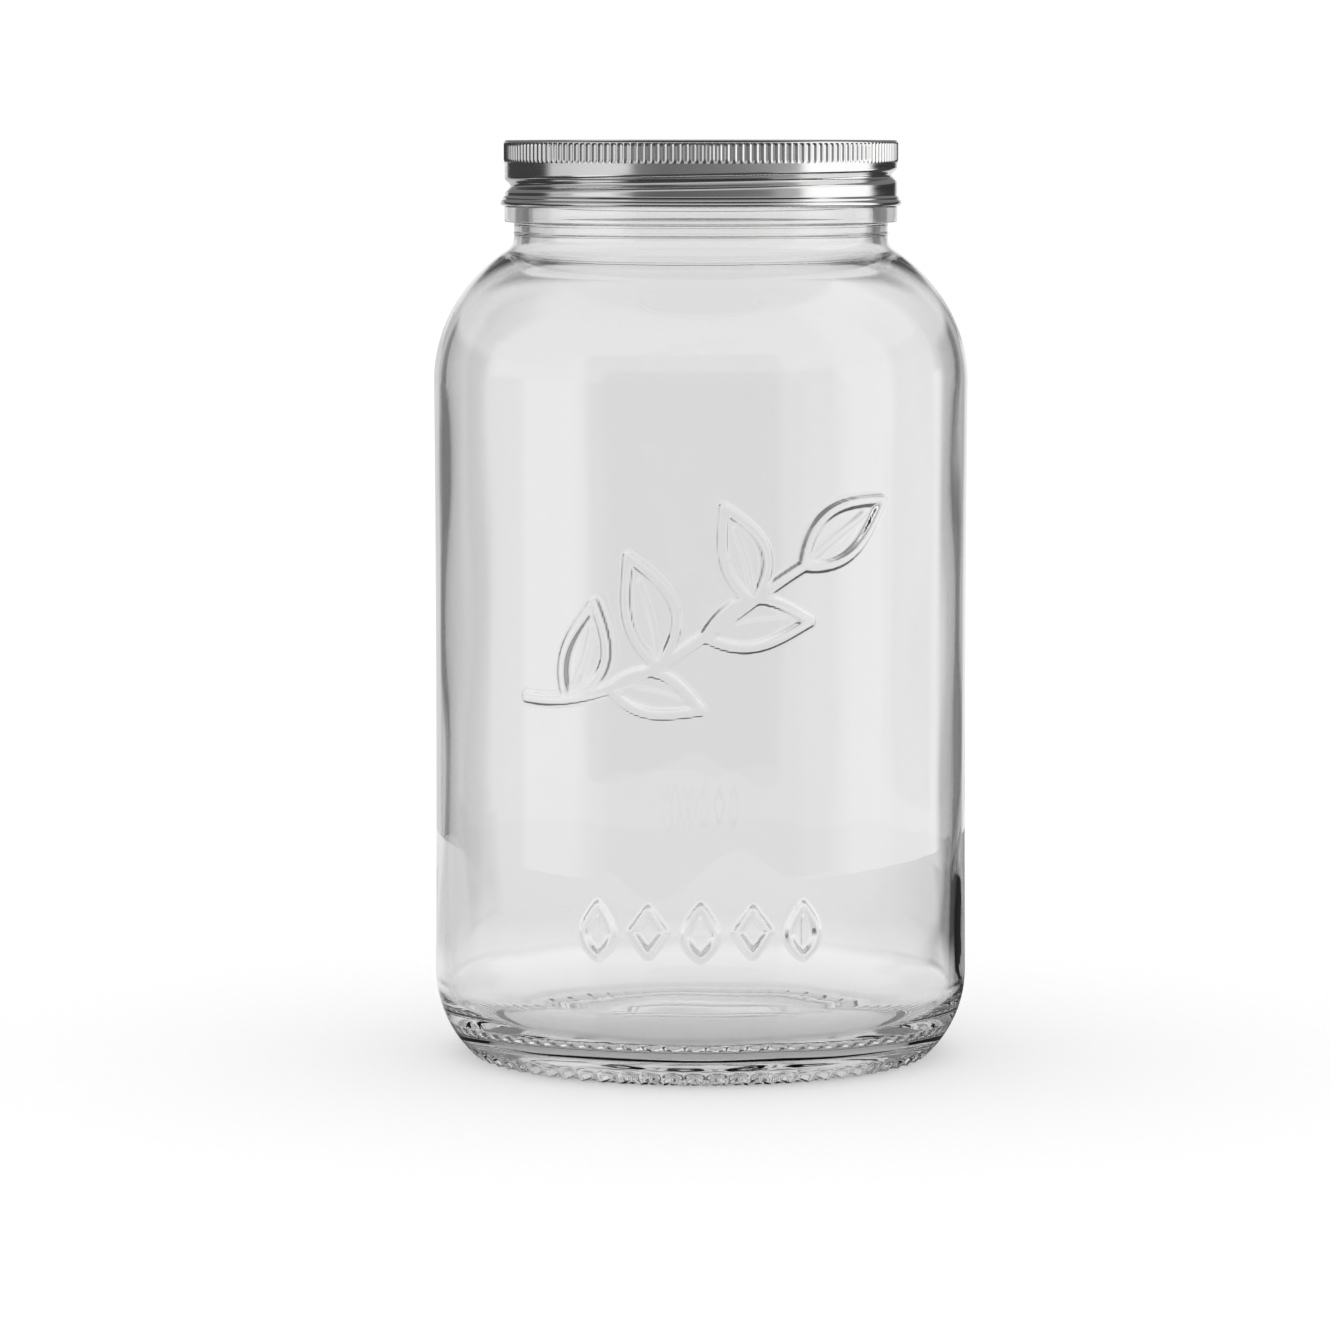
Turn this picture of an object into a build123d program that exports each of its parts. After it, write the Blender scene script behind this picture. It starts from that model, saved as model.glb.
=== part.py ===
from build123d import *
import math
import os

# One-gallon mason jar with a two-piece closure, in millimetres.
# The jar stands on z = 0, its axis is Z, and -Y is the decorated front.

# Glass: body, shoulder and base
BODY_R = 76.0
WAIST_R = 75.7
WAIST_Z = 108.0
WALL = 3.5
HEEL_R = 32.0
HEEL_Z = 24.0
SHOULDER_Z = 192.7
SHOULDER_LOW_R = 42.3
SHOULDER_LOW_TURN = 34.6
SHOULDER_HIGH_R = 49.6
NECK_R = 53.1
NECK_FILLET = 4.0

# Glass: inside
INNER_HEEL_R = 13.5
INNER_HEEL_Z = 22.0
FLOOR_CROWN = 1.6
INNER_LOW_R = 38.0
INNER_LOW_TURN = 33.0
INNER_HIGH_R = 42.0
INNER_FILLET = 8.0
MOUTH_R = 49.0

# Glass: underside, a hollow inside a bearing ring with a scalloped outer edge
BEARING_R = 62.0
HOLLOW_R = 57.5
HOLLOW_EDGE_Z = 3.0
HOLLOW_Z = 5.0
SCALLOPS = 69
SCALLOP_R = 1.3
SCALLOP_DEPTH = 0.5
SCALLOP_START_R = 64.2
SCALLOP_END_R = 72.0

# Glass: bead under the closure, rim and thread
BEAD_R = 55.8
BEAD_LOW_Z = 238.1
BEAD_HIGH_Z = 242.0
BEAD_EDGE = 0.9
BEAD_SLOPE = 0.5
RIM_Z = 259.2
RIM_EDGE = 1.2
THREAD_CREST_R = 54.9
THREAD_CREST_HALF = 0.45
THREAD_ROOT_HALF = 1.6
THREAD_START = 60.0
THREAD_TURNS = 1.18

# Screw band: thin tinplate rolled to a thread, with a wired edge at the bottom
PITCH = 25.4 / 4
SHEET = 0.5
BAND_R = 56.0
BAND_TOP_Z = 261.0
BAND_CORNER = 1.5
FLANGE_R = 50.0
KNURLS = 170
KNURL_DEPTH = 0.3
KNURL_LOW_Z = 254.8
SKIRT_LOW_Z = 246.2
FLARE_R = 56.4
FLARE_Z = 245.0
CURL_R = 56.15
CURL_Z = 243.35
CURL_RADIUS = 0.85
GROOVE_ZERO_Z = 248.0 - PITCH / 2
GROOVE_START = 125.0
GROOVE_TURNS = 0.87
GROOVE_DEPTH = 1.6
GROOVE_MOUTH_HALF = 2.1
GROOVE_FLOOR_HALF = 0.6
RIB_OVERRUN = 4.0
RIB_EXTRA = 0.35
CUT_CLEAR = 0.6
THREAD_ABOVE_RIB = 2.4

# Lid disc and the sealing ring bonded under its rim
LID_R = 54.2
LID_RIM_Z = 260.0
LID_EDGE_Z = 259.0
PANEL_OUTER_R = 47.6
PANEL_INNER_R = 46.2
PANEL_RISE = 0.4
BUTTON_R = 17.0
BUTTON_WIDTH = 1.2
SEAL_INNER_R = 49.9
SEAL_GAP = 0.1


def radial_plane(angle, height):
    """A plane through the Z axis: its x runs outwards at the angle, its y runs up."""
    turn = math.radians(angle)
    outwards = (math.cos(turn), math.sin(turn), 0)
    across = (math.sin(turn), -math.cos(turn), 0)
    return Plane(origin=(0, 0, height), x_dir=outwards, z_dir=across)


def shoulder_lines(start, low_r, low_turn, high_r, neck_r, fillet_r):
    """Two arcs that close in from the body, and a hollow fillet up to the neck."""
    low_centre_r = start[0] - low_r
    high_centre_r = low_centre_r + (low_r - high_r) * math.cos(math.radians(low_turn))
    end_turn = math.degrees(math.acos((neck_r + fillet_r - high_centre_r) / (high_r + fillet_r)))
    low = JernArc(start, (0, 1), low_r, low_turn)
    high = JernArc(low @ 1, low % 1, high_r, end_turn - low_turn)
    return JernArc(high @ 1, high % 1, fillet_r, -end_turn)


def helix_sweep(start_angle, start_z, turns, inner, outer, mode):
    """Sweep a four-sided ridge, given as (radius, half height) pairs, up a right-hand helix."""
    with BuildLine(Plane.XY.offset(start_z)) as helix:
        Helix(pitch=PITCH, height=PITCH * turns, radius=(inner[0] + outer[0]) / 2)
    path = helix.line.rotate(Axis.Z, start_angle)
    with BuildSketch(radial_plane(start_angle, start_z)) as section:
        with BuildLine():
            Polyline(
                (inner[0], -inner[1]), (outer[0], -outer[1]),
                (outer[0], outer[1]), (inner[0], inner[1]),
                close=True,
            )
        make_face()
    sweep(sections=section.sketch, path=path, is_frenet=True, mode=mode)


def groove_z(angle):
    """Height of the middle of the band's rolled groove at an angle about Z."""
    return GROOVE_ZERO_Z + PITCH * angle / 360


# A radial round bar that cuts one scallop in the outer edge of the bearing ring
with BuildPart() as scallop_bar:
    with BuildSketch(Plane.YZ.offset(SCALLOP_START_R)):
        with Locations((0, SCALLOP_DEPTH - SCALLOP_R)):
            Circle(SCALLOP_R)
    extrude(amount=SCALLOP_END_R - SCALLOP_START_R)

# Glass jar
with BuildPart() as glass_jar:
    with BuildSketch(Plane.XZ):
        with BuildLine():
            heel_start_r = BODY_R - HEEL_R + math.sqrt(HEEL_R**2 - HEEL_Z**2)
            heel = RadiusArc((heel_start_r, 0), (BODY_R, HEEL_Z), -HEEL_R)
            ThreePointArc(heel @ 1, (WAIST_R, WAIST_Z), (BODY_R, SHOULDER_Z))
            neck = shoulder_lines(
                (BODY_R, SHOULDER_Z), SHOULDER_LOW_R, SHOULDER_LOW_TURN,
                SHOULDER_HIGH_R, NECK_R, NECK_FILLET,
            )
            under_bead = Polyline(
                neck @ 1, (NECK_R, BEAD_LOW_Z - BEAD_SLOPE), (BEAD_R - BEAD_EDGE, BEAD_LOW_Z)
            )
            bead_low = RadiusArc(under_bead @ 1, (BEAD_R, BEAD_LOW_Z + BEAD_EDGE), -BEAD_EDGE)
            bead_side = Line(bead_low @ 1, (BEAD_R, BEAD_HIGH_Z - BEAD_EDGE))
            bead_high = RadiusArc(bead_side @ 1, (BEAD_R - BEAD_EDGE, BEAD_HIGH_Z), -BEAD_EDGE)
            finish = Polyline(
                bead_high @ 1, (NECK_R, BEAD_HIGH_Z + BEAD_SLOPE), (NECK_R, RIM_Z - RIM_EDGE)
            )
            rim_outer = RadiusArc(finish @ 1, (NECK_R - RIM_EDGE, RIM_Z), -RIM_EDGE)
            rim = Line(rim_outer @ 1, (MOUTH_R + RIM_EDGE, RIM_Z))
            rim_inner = RadiusArc(rim @ 1, (MOUTH_R, RIM_Z - RIM_EDGE), -RIM_EDGE)
            inner_neck = shoulder_lines(
                (BODY_R - WALL, SHOULDER_Z), INNER_LOW_R, INNER_LOW_TURN,
                INNER_HIGH_R, MOUTH_R, INNER_FILLET,
            )
            Line(rim_inner @ 1, inner_neck @ 1)
            inner_side = ThreePointArc(
                (BODY_R - WALL, SHOULDER_Z), (WAIST_R - WALL, WAIST_Z),
                (BODY_R - WALL, INNER_HEEL_Z),
            )
            floor_edge = (BODY_R - WALL - INNER_HEEL_R, INNER_HEEL_Z - INNER_HEEL_R)
            RadiusArc(inner_side @ 1, floor_edge, INNER_HEEL_R)
            floor_z = floor_edge[1] + FLOOR_CROWN
            Polyline(
                floor_edge, (0, floor_z), (0, HOLLOW_Z),
                (HOLLOW_R, HOLLOW_EDGE_Z), (BEARING_R, 0), heel @ 0,
            )
        make_face()
    revolve(axis=Axis.Z)
    helix_sweep(
        THREAD_START, groove_z(THREAD_START) + THREAD_ABOVE_RIB, THREAD_TURNS,
        (NECK_R - CUT_CLEAR, THREAD_ROOT_HALF + RIB_EXTRA), (THREAD_CREST_R, THREAD_CREST_HALF),
        Mode.ADD,
    )
    with PolarLocations(0, SCALLOPS):
        add(scallop_bar.part, mode=Mode.SUBTRACT)
glass_jar.part.label = "glass_jar"

# Lid disc: a turned-down edge, a flat rim over the seal and a raised centre panel
with BuildPart() as lid_disc:
    with BuildSketch(Plane.XZ):
        with BuildLine():
            top_z = LID_RIM_Z + SHEET
            Polyline(
                (0, LID_RIM_Z + PANEL_RISE), (PANEL_INNER_R, LID_RIM_Z + PANEL_RISE),
                (PANEL_OUTER_R, LID_RIM_Z), (LID_R - SHEET, LID_RIM_Z),
                (LID_R - SHEET, LID_EDGE_Z), (LID_R, LID_EDGE_Z), (LID_R, top_z),
                (PANEL_OUTER_R, top_z), (PANEL_INNER_R, top_z + PANEL_RISE),
                (0, top_z + PANEL_RISE),
                close=True,
            )
        make_face()
    revolve(axis=Axis.Z)
    with BuildSketch(Plane.XY.offset(top_z + PANEL_RISE)):
        Circle(BUTTON_R)
        Circle(BUTTON_R - BUTTON_WIDTH, mode=Mode.SUBTRACT)
    extrude(amount=-SHEET / 2, mode=Mode.SUBTRACT)
lid_disc.part.label = "lid_disc"

# Sealing ring: plastisol under the lid's rim, resting on the glass
with BuildPart() as sealing_ring:
    with BuildSketch(Plane.XY.offset(RIM_Z)):
        Circle(LID_R - SHEET - SEAL_GAP)
        Circle(SEAL_INNER_R, mode=Mode.SUBTRACT)
    extrude(amount=LID_RIM_Z - RIM_Z)
sealing_ring.part.label = "sealing_ring"

# Screw band: skirt with a rolled thread and a wired edge, knurled ring, flange
with BuildPart() as screw_band:
    with BuildSketch(Plane.XZ):
        with BuildLine():
            Polyline(
                (BAND_R - SHEET, KNURL_LOW_Z), (BAND_R, KNURL_LOW_Z), (BAND_R, SKIRT_LOW_Z),
                (FLARE_R, FLARE_Z), (FLARE_R, CURL_Z), (FLARE_R - SHEET, CURL_Z),
                (FLARE_R - SHEET, FLARE_Z), (BAND_R - SHEET, SKIRT_LOW_Z),
                close=True,
            )
        make_face()
        with Locations((CURL_R, CURL_Z)):
            Circle(CURL_RADIUS)
    revolve(axis=Axis.Z)
    helix_sweep(
        GROOVE_START - RIB_OVERRUN, groove_z(GROOVE_START - RIB_OVERRUN),
        GROOVE_TURNS + 2 * RIB_OVERRUN / 360,
        (BAND_R - GROOVE_DEPTH - SHEET, GROOVE_FLOOR_HALF),
        (BAND_R - SHEET / 2, GROOVE_MOUTH_HALF),
        Mode.ADD,
    )
    helix_sweep(
        GROOVE_START, groove_z(GROOVE_START), GROOVE_TURNS,
        (BAND_R - GROOVE_DEPTH, GROOVE_FLOOR_HALF),
        (BAND_R + CUT_CLEAR, GROOVE_MOUTH_HALF + RIB_EXTRA),
        Mode.SUBTRACT,
    )
    with BuildSketch(Plane.XY.offset(KNURL_LOW_Z)):
        with BuildLine():
            knurl_points = []
            for index in range(2 * KNURLS):
                radius = BAND_R - KNURL_DEPTH * (index % 2)
                turn = math.pi * index / KNURLS
                knurl_points.append((radius * math.cos(turn), radius * math.sin(turn)))
            Polyline(*knurl_points, close=True)
        make_face()
        Circle(BAND_R - SHEET - KNURL_DEPTH / 2, mode=Mode.SUBTRACT)
    extrude(amount=BAND_TOP_Z - BAND_CORNER - KNURL_LOW_Z)
    with BuildSketch(Plane.XZ):
        with BuildLine():
            corner_z = BAND_TOP_Z - BAND_CORNER
            flange_top = Polyline(
                (FLANGE_R, BAND_TOP_Z - SHEET), (FLANGE_R, BAND_TOP_Z),
                (BAND_R - BAND_CORNER, BAND_TOP_Z),
            )
            corner = RadiusArc(flange_top @ 1, (BAND_R, corner_z), BAND_CORNER)
            corner_step = Line(corner @ 1, (BAND_R - SHEET, corner_z))
            inside = RadiusArc(
                corner_step @ 1, (BAND_R - BAND_CORNER, BAND_TOP_Z - SHEET), SHEET - BAND_CORNER
            )
            Line(inside @ 1, flange_top @ 0)
        make_face()
    revolve(axis=Axis.Z)
screw_band.part.label = "screw_band"

os.makedirs("parts", exist_ok=True)
for piece in (glass_jar, lid_disc, sealing_ring, screw_band):
    export_step(piece.part, f"parts/{piece.part.label}.step")
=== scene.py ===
import math

import bpy
import numpy as np
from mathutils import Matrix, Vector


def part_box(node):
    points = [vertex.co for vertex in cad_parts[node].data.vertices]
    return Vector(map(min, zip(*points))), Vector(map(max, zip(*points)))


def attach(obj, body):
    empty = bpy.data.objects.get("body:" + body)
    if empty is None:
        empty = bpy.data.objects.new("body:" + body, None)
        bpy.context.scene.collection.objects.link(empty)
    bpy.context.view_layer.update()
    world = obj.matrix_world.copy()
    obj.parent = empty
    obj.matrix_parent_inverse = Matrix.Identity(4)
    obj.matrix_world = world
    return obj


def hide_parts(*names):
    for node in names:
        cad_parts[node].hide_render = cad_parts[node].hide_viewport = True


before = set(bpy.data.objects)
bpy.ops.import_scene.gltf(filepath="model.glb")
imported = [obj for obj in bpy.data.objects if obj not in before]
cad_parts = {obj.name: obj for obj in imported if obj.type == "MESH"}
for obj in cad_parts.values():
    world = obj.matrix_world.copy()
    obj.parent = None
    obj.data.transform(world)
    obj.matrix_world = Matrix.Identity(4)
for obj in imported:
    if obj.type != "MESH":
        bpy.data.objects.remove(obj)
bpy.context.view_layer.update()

# Metres, in the frame's own axes: Z is up the jar, -Y is the decorated front.
MM = 0.001
JAR_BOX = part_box("glass_jar")
BAND_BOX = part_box("screw_band")
LID_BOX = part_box("lid_disc")
SEAL_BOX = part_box("sealing_ring")

# Glass, outside
BODY_R = JAR_BOX[1].x
RIM_Z = JAR_BOX[1].z
WAIST = 0.3 * MM
WALL = 3.5 * MM
HEEL_R = 32 * MM
HEEL_Z = 24 * MM
SHOULDER_Z = 192.7 * MM
SHOULDER_LOW_R = 42.3 * MM
SHOULDER_LOW_TURN = 34.6
SHOULDER_HIGH_R = 49.6 * MM
NECK_R = 53.1 * MM
NECK_FILLET = 4 * MM
BEAD_R = 55.8 * MM
BEAD_LOW_Z = 237.8 * MM
BEAD_SLOPE = 0.12 * MM
BEAD_HIGH_Z = 242.35 * MM
RIM_EDGE = 1.2 * MM
SEAM_Z = 234.8 * MM
SEAM_HALF = 0.4 * MM
SEAM_REACH = 0.5 * MM
SEAM_HEIGHT = 0.3 * MM
BEAD_FILLETS = (0.5 * MM, 0.2 * MM, 0.3 * MM, 0.4 * MM)
BEAD_STEP = 1.1 * MM
FINISH_Z = 243.8 * MM

# Glass, underside
BEARING_R = 62 * MM
HOLLOW_R = 57.5 * MM
HOLLOW_EDGE_Z = 3 * MM
HOLLOW_Z = 5 * MM
HOLLOW_FILLET = 2.5 * MM
HOLLOW_STEP = 7 * MM
FIRST_RING_R = 4 * MM
BEARING_FILLET = 1.2 * MM
SCALLOPS = 69
SCALLOP_DEPTH = 1.3 * MM
SCALLOP_SHARPNESS = 1.4
SCALLOP_R = 63.6 * MM
SCALLOP_R_FADE = 1.2 * MM
SCALLOP_TOP_Z = 4.2 * MM
SCALLOP_TOP_FADE = 2.4 * MM
SCALLOP_BAND = 2.4 * MM

# Glass, inside
MOUTH_R = 49 * MM
INNER_HEEL_R = 13.5 * MM
INNER_HEEL_Z = 22 * MM
FLOOR_CROWN = 1.6 * MM
INNER_LOW_R = 38 * MM
INNER_LOW_TURN = 33.0
INNER_HIGH_R = 42 * MM
INNER_FILLET = 8 * MM
INNER_MARGIN_LOW = 3 * MM
INNER_MARGIN_HIGH = 4 * MM
INNER_STEP = 8 * MM
MOUTH_DEPTH = 3 * MM
FLOOR_RING_R = 5 * MM
WAVE = 0.22 * MM
# Each wave of the inner wall is (share, lobes round the jar, rise with height, phase)
WAVES = ((0.5, 3, 5, 0.6), (0.3, 5, -9, 1.9), (0.25, 9, 14, 0.0), (0.16, 14, -23, 0.8))
WAVE_FLOOR_R = 50 * MM
WAVE_FLOOR_FADE = 14 * MM
WAVE_TOP_Z = 226 * MM
WAVE_TOP_FADE = 40 * MM

# Threads: right-hand, four to the inch
PITCH = 6.35 * MM
GROOVE_ZERO_Z = 244.825 * MM
GROOVE_START = 112.0
GROOVE_END = 446.0
GROOVE_DEPTH = 1.6 * MM
GROOVE_HALF = 2.25 * MM
THREAD_START = 58.0
THREAD_END = 486.0
THREAD_ABOVE_GROOVE = 2.4 * MM
THREAD_HEIGHT = 1.8 * MM
THREAD_HALF = 1.75 * MM
THREAD_FADE = 16.0

# Screw band and lid
SHEET = 0.4 * MM
BAND_R = 56.0 * MM
BAND_CORNER = 0.9 * MM
BAND_TOP_Z = BAND_BOX[1].z
FLANGE_R = 50.0 * MM
KNURLS = 170
KNURL_DEPTH = 0.52 * MM
SKIRT_INSET = 0.22 * MM
KNURL_LOW_Z = 254.8 * MM
KNURL_HIGH_Z = BAND_TOP_Z - 0.6 * MM
KNURL_RISE = 0.6 * MM
KNURL_FALL = 0.5 * MM
CURL_RADIUS = 0.85 * MM
CURL_R = BAND_BOX[1].x - CURL_RADIUS
CURL_Z = BAND_BOX[0].z + CURL_RADIUS
FLARE_R = 56.3 * MM
FLARE_Z = 244.75 * MM
FLARE_LIP = 0.4 * MM
SKIRT_LOW_Z = 245.4 * MM
SKIRT_TAPER = 0.06 * MM
SKIRT_TAPER_Z = 250.2 * MM
SKIRT_FILLETS = (0.2 * MM, 0.3 * MM, 0.3 * MM)
SKIRT_STEP = 0.19 * MM
FLANGE_STEP = 1.5 * MM
PANEL_R = 46.9 * MM
PANEL_SLOPE = 1.4 * MM
PANEL_RISE = 0.4 * MM
PANEL_FILLET = 0.8 * MM
BUTTON_R = 16.4 * MM
BUTTON_HALF = 1.6 * MM
BUTTON_DEPTH = 0.28 * MM
BUTTON_FILLETS = (1.5 * MM, 1.2 * MM, 1.5 * MM)
LID_RING_R = 3 * MM
LID_STEP = 3 * MM

# Sealing ring
SEAL_INNER_R = 49.9 * MM
SEAL_GAP_LOW = 0.03 * MM
SEAL_GAP_HIGH = 0.01 * MM
SEAL_GAP_SIDE = 0.02 * MM
SEAL_LOW_FILLET = 0.3 * MM
SEAL_HIGH_FILLET = 0.1 * MM

# Relief on the front: a leafy sprig above, a row of small motifs below
SPRIG_LOW_Z = 98 * MM
SPRIG_HIGH_Z = 172 * MM
ROW_LOW_Z = 34 * MM
ROW_HIGH_Z = 55 * MM
FRONT = 270.0
STEM_ENDS = ((-52, 108), (-18, 104), (8, 134), (29, 145))
# Each side leaf is (share of the way up the stem, lean in degrees, length in millimetres)
SIDE_LEAVES = ((0.14, 64, 28), (0.28, -34, 26), (0.44, 76, 31), (0.60, -28, 30), (0.78, 72, 27))
SIDE_LEAF_WIDTH = 0.44
SIDE_LEAF_BEND = 0.25
TIP_HEADING = 34
TIP_LENGTH = 31 * MM
TIP_WIDTH = 13.5 * MM
TIP_BEND = 0.12
LEAF_POINTS = 22
LEAF_RIB_POINTS = 17
LEAF_FULLNESS = 0.85
MOTIF_PITCH = 14.5 * MM
MOTIF_LEAF_LENGTH = 14.4 * MM
MOTIF_LEAF_WIDTH = 8.2 * MM
LOZENGE_HALF_HEIGHT = 6.4 * MM
LOZENGE_HALF_WIDTH = 4.6 * MM
# Each stroke is (half width, height); its flank takes up a share of the half width
STEM_STROKE = (2.1 * MM, 1.3 * MM)
EDGE_STROKE = (1.9 * MM, 1.3 * MM)
RIB_STROKE = (1.2 * MM, 0.55 * MM)
MOTIF_EDGE_STROKE = (1.2 * MM, 0.72 * MM)
MOTIF_RIB_STROKE = (0.8 * MM, 0.4 * MM)
STROKE_FLANK = 0.58

# How finely the skins are drawn: angles in degrees, and numbers of points round a full turn,
# or round each scallop and knurl
FRONT_HALF = 43.26
FRONT_STEP = 0.42
BACK_POINTS = 64
RELIEF_STEP = 0.56 * MM
UNDERSIDE_POINTS = 138
WALL_POINTS = 180
NECK_POINTS = 200
METAL_POINTS = 240
SKIRT_POINTS = 300
POINTS_PER_WAVE = 6
# The plain stretches of the body below, between and above the relief: (from, to, step)
LOW_PLAIN = (26 * MM, 33 * MM, 3 * MM)
MIDDLE_PLAIN = (57 * MM, 96 * MM, 6 * MM)
HIGH_PLAIN = (174 * MM, 190 * MM, 5 * MM)

# The camera, level with the lid and pitched down on the jar
CAMERA_DISTANCE = 1.658
CAMERA_HEIGHT = 0.2647
CAMERA_PITCH = 5.292
CAMERA_YAW = 0.3475
CAMERA_LENS = 157.25
CAMERA_SENSOR = 36.0
CAMERA_CLIP_END = 200.0
BOUNCES = 24
GLOSSY_BOUNCES = 12

# Materials
GLASS_IOR = 1.52
GLASS_TINT = 0.42
GLASS_DENSITY = 2.5
TIN_SHADE = 0.93
TIN_WARMTH = 0.995
NOISE_LOW = 0.3
NOISE_HIGH = 0.7


def arc(centre, radius, start, end, count):
    """Points (r, z) on an arc, from one angle to another in degrees."""
    turn = np.radians(np.linspace(start, end, count))
    return np.column_stack((centre[0] + radius * np.cos(turn), centre[1] + radius * np.sin(turn)))


def straight(start, end, count):
    """Evenly spaced points from start to end."""
    return np.linspace(start, end, count)


def rounded(corners, fillets, steps=5):
    """A polyline with each inner corner rounded to its fillet radius."""
    corners = [np.array(c, float) for c in corners]
    points = [corners[0]]
    for before, corner, after, fillet in zip(corners, corners[1:], corners[2:], fillets):
        back = (before - corner) / np.linalg.norm(before - corner)
        ahead = (after - corner) / np.linalg.norm(after - corner)
        half = math.acos(np.clip(back @ ahead, -1, 1)) / 2
        reach = fillet / math.tan(half)
        middle = (back + ahead) / np.linalg.norm(back + ahead)
        centre = corner + middle * fillet / math.sin(half)
        for t in np.linspace(0, 1, steps):
            chord = (corner + back * reach) * (1 - t) + (corner + ahead * reach) * t
            spoke = chord - centre
            points.append(centre + spoke * fillet / np.linalg.norm(spoke))
    points.append(corners[-1])
    return np.array(points)


def refine(points, step):
    """The same line with extra points, so that no gap is longer than the step."""
    out = [points[0]]
    for a, b in zip(points, points[1:]):
        pieces = max(1, math.ceil(np.linalg.norm(b - a) / step))
        out.extend(a + (b - a) * k / pieces for k in range(1, pieces + 1))
    return np.array(out)


def smooth(t):
    """0 below 0, 1 above 1 and an S curve between."""
    t = np.clip(t, 0, 1)
    return t * t * (3 - 2 * t)


def even(count):
    """Evenly spaced angles round a full turn, in degrees."""
    return np.arange(count) * 360.0 / count


def dense_front(half, step, rest):
    """Angles round a full turn, finely spaced within half of the front and coarsely elsewhere."""
    fine = np.arange(-half, half + step / 2, step) + FRONT
    coarse = np.linspace(half, 360 - half, rest + 1)[1:-1] + FRONT
    return np.sort(np.concatenate((fine, coarse)) % 360)


class Skin:
    """A mesh of rings of points about Z, each ring joined to the one before it."""

    def __init__(self):
        self.points = []
        self.faces = []
        self.size = 0
        self.first = None
        self.last = None

    def pole(self, height):
        """One point on the axis, which the next ring closes on, or the last ring if there is one."""
        self.points.append(np.array([[0.0, 0.0, height]]))
        centre = self.size
        self.size += 1
        if self.last is None:
            self.last = (None, centre)
            return
        index = self.last[1]
        self.faces.extend((a, b, centre) for a, b in zip(index, np.roll(index, -1)))

    def add(self, angles, rows, shift=None):
        """A zone: profile rows (r, z) turned to each angle, moved along the profile's normal by shift."""
        rows = np.asarray(rows, float)
        tangent = np.gradient(rows, axis=0)
        tangent /= np.linalg.norm(tangent, axis=1)[:, None] + 1e-12
        normal = np.column_stack((tangent[:, 1], -tangent[:, 0]))
        radius = np.repeat(rows[:, :1], len(angles), axis=1)
        height = np.repeat(rows[:, 1:], len(angles), axis=1)
        if shift is not None:
            move = shift(np.asarray(angles)[None, :], radius, height)
            radius = radius + move * normal[:, :1]
            height = height + move * normal[:, 1:]
        turn = np.radians(angles)[None, :]
        points = np.stack((radius * np.cos(turn), radius * np.sin(turn), height), axis=-1)
        index = self.size + np.arange(points.shape[0] * points.shape[1]).reshape(points.shape[:2])
        self.points.append(points.reshape(-1, 3))
        self.size += index.size
        if self.last is not None:
            self.join(self.last, (angles, index[0]))
        for low, high in zip(index, index[1:]):
            ahead_low = np.roll(low, -1)
            ahead_high = np.roll(high, -1)
            self.faces.extend(np.column_stack((low, ahead_low, ahead_high, high)).tolist())
        if self.first is None:
            self.first = (angles, index[0])
        self.last = (angles, index[-1])

    def join(self, low, high):
        """Faces between two rings, whatever their counts."""
        if low[0] is None:
            ring = high[1]
            self.faces.extend((low[1], b, a) for a, b in zip(ring, np.roll(ring, -1)))
            return
        low_angles, low_index = low
        high_angles, high_index = high
        i = 0
        j = 0
        while i < len(low_index) or j < len(high_index):
            next_low = low_angles[i + 1] if i + 1 < len(low_index) else low_angles[0] + 360
            next_high = high_angles[j + 1] if j + 1 < len(high_index) else high_angles[0] + 360
            a = low_index[i % len(low_index)]
            b = high_index[j % len(high_index)]
            if j >= len(high_index) or (i < len(low_index) and next_low <= next_high):
                i += 1
                self.faces.append((a, low_index[i % len(low_index)], b))
            else:
                j += 1
                self.faces.append((a, high_index[j % len(high_index)], b))

    def close(self):
        """Join the last ring to the first, for a closed sheet."""
        self.join(self.last, self.first)

    def build(self, name, material):
        """The finished Blender object."""
        mesh = bpy.data.meshes.new(name)
        mesh.from_pydata(np.concatenate(self.points).tolist(), [], self.faces)
        mesh.polygons.foreach_set("use_smooth", np.ones(len(mesh.polygons), bool))
        mesh.materials.append(material)
        mesh.update()
        piece = bpy.data.objects.new(name, mesh)
        bpy.context.scene.collection.objects.link(piece)
        return piece


def shoulder_arcs(start, low_r, low_turn, high_r, neck_r, fillet_r, count):
    """Two arcs that close in from the body and the hollow fillet up to the neck."""
    low_centre = np.array([start[0] - low_r, start[1]])
    turn = math.radians(low_turn)
    high_centre = low_centre + (low_r - high_r) * np.array([math.cos(turn), math.sin(turn)])
    end = math.acos((neck_r + fillet_r - high_centre[0]) / (high_r + fillet_r))
    fillet_centre = high_centre + (high_r + fillet_r) * np.array([math.cos(end), math.sin(end)])
    end_turn = math.degrees(end)
    low = arc(low_centre, low_r, 0, low_turn, count)
    high = arc(high_centre, high_r, low_turn, end_turn, count)
    hollow = arc(fillet_centre, fillet_r, end_turn + 180, 180, count // 2)
    return np.concatenate((low, high[1:], hollow[1:]))


def helix_ridge(angle, height, zero_z, start, end, half):
    """How near each point is to a helical ridge's middle: 1 on its crest, 0 beyond its half width."""
    near = np.zeros(np.broadcast(angle, height).shape)
    for turn in range(math.ceil(end / 360)):
        whole = angle + 360.0 * turn
        middle = zero_z + PITCH * whole / 360.0
        fade = smooth((whole - start) / THREAD_FADE) * smooth((end - whole) / THREAD_FADE)
        near = np.maximum(near, smooth(1 - np.abs(height - middle) / half) * fade)
    return near


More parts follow.
